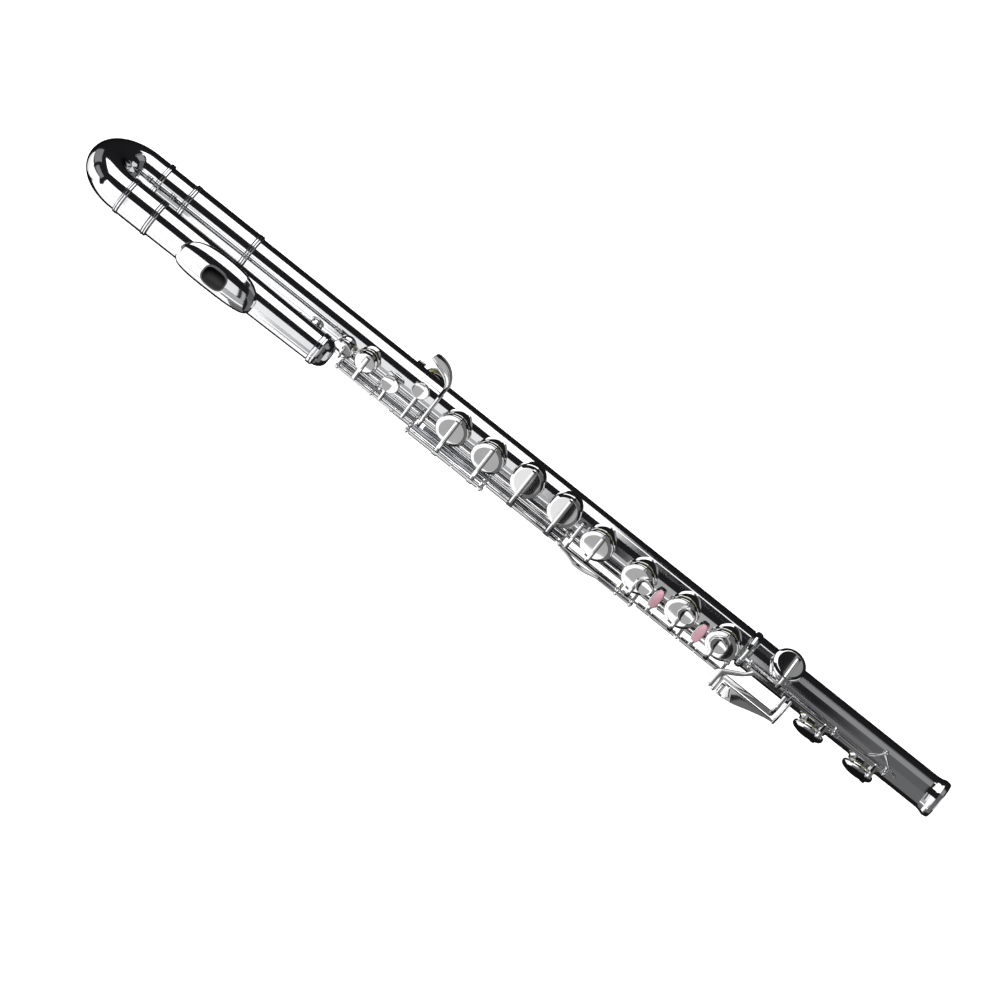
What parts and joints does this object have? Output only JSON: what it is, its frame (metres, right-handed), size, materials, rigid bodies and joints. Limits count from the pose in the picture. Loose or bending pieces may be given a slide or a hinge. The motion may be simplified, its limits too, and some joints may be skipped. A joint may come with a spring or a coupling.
{
  "type": "alto flute",
  "caption": "Alto flute with a curved U-bend head joint, plateau key cups on rod hinges, trill keys and a foot joint with rollers.",
  "frame": {"origin": "centre of the foot joint's open end face, where a stand's peg enters the bore", "axes": "+X from the U-bend to the foot's open end, +Z the way the key cups face, -Y towards the hinge rods"},
  "size_m": [0.711, 0.0678, 0.087],
  "materials": {
    "silver_plate": "polished",
    "rod_steel": "satin",
    "pad_skin": "matte",
    "cork": "matte",
    "rose_plate": "polished"
  },
  "bodies": {
    "body": {"body_tube": "silver_plate", "barrel": "silver_plate", "post_rib": "silver_plate", "thumb_rib": "silver_plate", "steel_outer": "rod_steel", "steel_right_hand": "rod_steel", "steel_thumb": "rod_steel"},
    "bend": {"u_bend": "silver_plate", "bend_receiver": "silver_plate", "tuning_slide": "silver_plate"},
    "head": {"head_tube": "silver_plate", "lip_plate": "silver_plate", "embouchure_riser": "silver_plate"},
    "crown": {"crown": "silver_plate"},
    "stopper": {"stopper_screw": "rod_steel", "stopper_cork": "cork"},
    "foot": {"foot_tube": "silver_plate", "foot_rib": "silver_plate"},
    "c_key": {"key_c": "silver_plate", "pad_c": "pad_skin"},
    "a_lever": {"lever_a": "silver_plate"},
    "b_flat_key": {"key_b_flat": "silver_plate", "pad_b_flat": "pad_skin"},
    "a_key": {"key_a": "silver_plate", "pad_a": "pad_skin"},
    "g_key": {"lever_g": "silver_plate", "key_g": "silver_plate", "pad_g_upper": "pad_skin", "pad_g_lower": "pad_skin", "steel_left_hand": "rod_steel"},
    "g_sharp_key": {"key_g_sharp": "silver_plate", "pad_g_sharp": "pad_skin"},
    "thumb_b_key": {"key_thumb_b": "silver_plate", "pad_thumb_b": "pad_skin"},
    "thumb_b_flat_lever": {"lever_thumb_b_flat": "silver_plate"},
    "side_b_flat_lever": {"lever_side_b_flat": "silver_plate"},
    "d_trill_key": {"key_d_trill": "silver_plate", "pad_d_trill": "pad_skin"},
    "d_trill_lever": {"lever_trill_d": "rose_plate"},
    "d_sharp_trill_key": {"key_d_sharp_trill": "silver_plate", "pad_d_sharp_trill": "pad_skin"},
    "d_sharp_trill_lever": {"lever_trill_d_sharp": "rose_plate"},
    "f_sharp_key": {"key_f_sharp": "silver_plate", "pad_f_sharp": "pad_skin"},
    "f_key": {"key_f": "silver_plate", "pad_f": "pad_skin"},
    "e_key": {"key_e": "silver_plate", "pad_e": "pad_skin"},
    "d_key": {"key_d": "silver_plate", "pad_d": "pad_skin"},
    "e_flat_key": {"key_e_flat": "silver_plate", "pad_e_flat": "pad_skin"},
    "c_sharp_key": {"key_c_sharp": "silver_plate", "pad_c_sharp": "pad_skin"},
    "low_c_key": {"key_low_c": "silver_plate", "pad_low_c": "pad_skin", "lever_low_c": "silver_plate", "steel_foot": "rod_steel"},
    "c_sharp_roller": {"roller_c_sharp": "silver_plate"},
    "low_c_roller": {"roller_low_c": "silver_plate"}
  },
  "joints": [
    {"name": "bend_slide", "type": "slide", "parent": "body", "child": "bend", "axis": [-1, 0, 0], "range_m": [-0.005, 0.012]},
    {"name": "head_turn", "type": "hinge", "parent": "bend", "child": "head", "pos_m": [-0.6715, 0, 0.045], "axis": [1, 0, 0], "range_deg": [-20, 20]},
    {"name": "foot_turn", "type": "hinge", "parent": "body", "child": "foot", "pos_m": [-0.1649, 0, 0], "axis": [1, 0, 0], "range_deg": [-8, 2]},
    {"name": "crown_turn", "type": "hinge", "parent": "head", "child": "crown", "pos_m": [-0.5127, 0, 0.045], "axis": [1, 0, 0], "range_deg": [-180, 180]},
    {"name": "stopper_slide", "type": "slide", "parent": "head", "child": "stopper", "axis": [1, 0, 0], "range_m": [-0.00036, 0.00036]},
    {"name": "c_key_hinge", "type": "hinge", "parent": "body", "child": "c_key", "pos_m": [-0.4815, -0.01777, 0.01491], "axis": [1, 0, 0], "range_deg": [-6.44, 0], "stiffness_Nm_per_rad": 0.03, "springref_deg": 22.92},
    {"name": "a_lever_hinge", "type": "hinge", "parent": "body", "child": "a_lever", "pos_m": [-0.45, -0.01777, 0.01491], "axis": [1, 0, 0], "range_deg": [-6.44, 0], "stiffness_Nm_per_rad": 0.03, "springref_deg": 22.92},
    {"name": "g_key_hinge", "type": "hinge", "parent": "body", "child": "g_key", "pos_m": [-0.34, -0.01777, 0.01491], "axis": [1, 0, 0], "range_deg": [-4.94, 0], "stiffness_Nm_per_rad": 0.03, "springref_deg": 22.92},
    {"name": "f_sharp_hinge", "type": "hinge", "parent": "body", "child": "f_sharp_key", "pos_m": [-0.2853, -0.01777, 0.01491], "axis": [1, 0, 0], "range_deg": [-6.44, 0], "stiffness_Nm_per_rad": 0.03, "springref_deg": 22.92},
    {"name": "f_hinge", "type": "hinge", "parent": "body", "child": "f_key", "pos_m": [-0.25, -0.01777, 0.01491], "axis": [1, 0, 0], "range_deg": [-6.44, 0], "stiffness_Nm_per_rad": 0.03, "springref_deg": 22.92},
    {"name": "e_hinge", "type": "hinge", "parent": "body", "child": "e_key", "pos_m": [-0.2135, -0.01777, 0.01491], "axis": [1, 0, 0], "range_deg": [-6.44, 0], "stiffness_Nm_per_rad": 0.03, "springref_deg": 22.92},
    {"name": "d_hinge", "type": "hinge", "parent": "body", "child": "d_key", "pos_m": [-0.1789, -0.01777, 0.01491], "axis": [1, 0, 0], "range_deg": [-6.44, 0], "stiffness_Nm_per_rad": 0.03, "springref_deg": 22.92},
    {"name": "b_flat_hinge", "type": "hinge", "parent": "body", "child": "b_flat_key", "pos_m": [-0.4083, -0.0213, 0.01787], "axis": [1, 0, 0], "range_deg": [-5.4, 0], "stiffness_Nm_per_rad": 0.03, "springref_deg": 22.92},
    {"name": "a_hinge", "type": "hinge", "parent": "body", "child": "a_key", "pos_m": [-0.3784, -0.0213, 0.01787], "axis": [1, 0, 0], "range_deg": [-5.4, 0], "stiffness_Nm_per_rad": 0.03, "springref_deg": 22.92},
    {"name": "thumb_b_hinge", "type": "hinge", "parent": "body", "child": "thumb_b_key", "pos_m": [-0.4376, -0.01379, -0.01379], "axis": [1, 0, 0], "range_deg": [0, 8.3], "stiffness_Nm_per_rad": 0.03, "springref_deg": -22.92},
    {"name": "thumb_b_flat_hinge", "type": "hinge", "parent": "body", "child": "thumb_b_flat_lever", "pos_m": [-0.453, -0.01379, -0.01379], "axis": [1, 0, 0], "range_deg": [0, 8.3], "stiffness_Nm_per_rad": 0.03, "springref_deg": -22.92},
    {"name": "side_b_flat_hinge", "type": "hinge", "parent": "body", "child": "side_b_flat_lever", "pos_m": [-0.257, -0.0224, 0.0122], "axis": [1, 0, 0], "range_deg": [0, 8], "stiffness_Nm_per_rad": 0.03, "springref_deg": -22.92},
    {"name": "g_sharp_hinge", "type": "hinge", "parent": "body", "child": "g_sharp_key", "pos_m": [-0.37, -0.0165, 0.00291], "axis": [1, 0, 0], "range_deg": [-7.5, 0], "stiffness_Nm_per_rad": 0.03, "springref_deg": 22.92},
    {"name": "d_trill_hinge", "type": "hinge", "parent": "body", "child": "d_trill_key", "pos_m": [-0.37, -0.01226, 0.01029], "axis": [1, 0, 0], "range_deg": [0, 8], "stiffness_Nm_per_rad": 0.03, "springref_deg": -22.92},
    {"name": "d_trill_lever_hinge", "type": "hinge", "parent": "body", "child": "d_trill_lever", "pos_m": [-0.2321, -0.01777, 0.01491], "axis": [1, 0, 0], "range_deg": [-8, 0], "stiffness_Nm_per_rad": 0.03, "springref_deg": 22.92},
    {"name": "d_sharp_trill_hinge", "type": "hinge", "parent": "body", "child": "d_sharp_trill_key", "pos_m": [-0.37, -0.01226, 0.01029], "axis": [1, 0, 0], "range_deg": [0, 8], "stiffness_Nm_per_rad": 0.03, "springref_deg": -22.92},
    {"name": "d_sharp_trill_lever_hinge", "type": "hinge", "parent": "body", "child": "d_sharp_trill_lever", "pos_m": [-0.1955, -0.01777, 0.01491], "axis": [1, 0, 0], "range_deg": [-8, 0], "stiffness_Nm_per_rad": 0.03, "springref_deg": 22.92},
    {"name": "e_flat_hinge", "type": "hinge", "parent": "foot", "child": "e_flat_key", "pos_m": [-0.1357, 0, 0.017], "axis": [1, 0, 0], "range_deg": [0, 5], "stiffness_Nm_per_rad": 0.03, "springref_deg": -22.92},
    {"name": "c_sharp_hinge", "type": "hinge", "parent": "foot", "child": "c_sharp_key", "pos_m": [-0.0978, 0, 0.017], "axis": [1, 0, 0], "range_deg": [0, 8.19], "stiffness_Nm_per_rad": 0.03, "springref_deg": -22.92},
    {"name": "low_c_hinge", "type": "hinge", "parent": "foot", "child": "low_c_key", "pos_m": [-0.0559, 0, 0.017], "axis": [1, 0, 0], "range_deg": [0, 8.19], "stiffness_Nm_per_rad": 0.03, "springref_deg": -22.92},
    {"name": "c_sharp_roller_spin", "type": "hinge", "parent": "c_sharp_key", "child": "c_sharp_roller", "pos_m": [-0.1606, -0.02921, 0.01272], "axis": [0, -0.9898, 0.1424], "continuous": true},
    {"name": "low_c_roller_spin", "type": "hinge", "parent": "low_c_key", "child": "low_c_roller", "pos_m": [-0.1648, -0.02753, 0.01247], "axis": [0, -0.9898, 0.1424], "continuous": true}
  ],
  "couplings": [
    {"joint": "stopper_slide", "follows": "crown_turn", "m_per_rad": 0.000111},
    {"joint": "b_flat_hinge", "follows": "a_lever_hinge", "ratio": 0.836},
    {"joint": "a_hinge", "follows": "a_lever_hinge", "ratio": 0.836},
    {"joint": "f_sharp_hinge", "follows": "f_hinge", "ratio": 1},
    {"joint": "d_trill_hinge", "follows": "d_trill_lever_hinge", "ratio": -1},
    {"joint": "d_sharp_trill_hinge", "follows": "d_sharp_trill_lever_hinge", "ratio": -1}
  ]
}
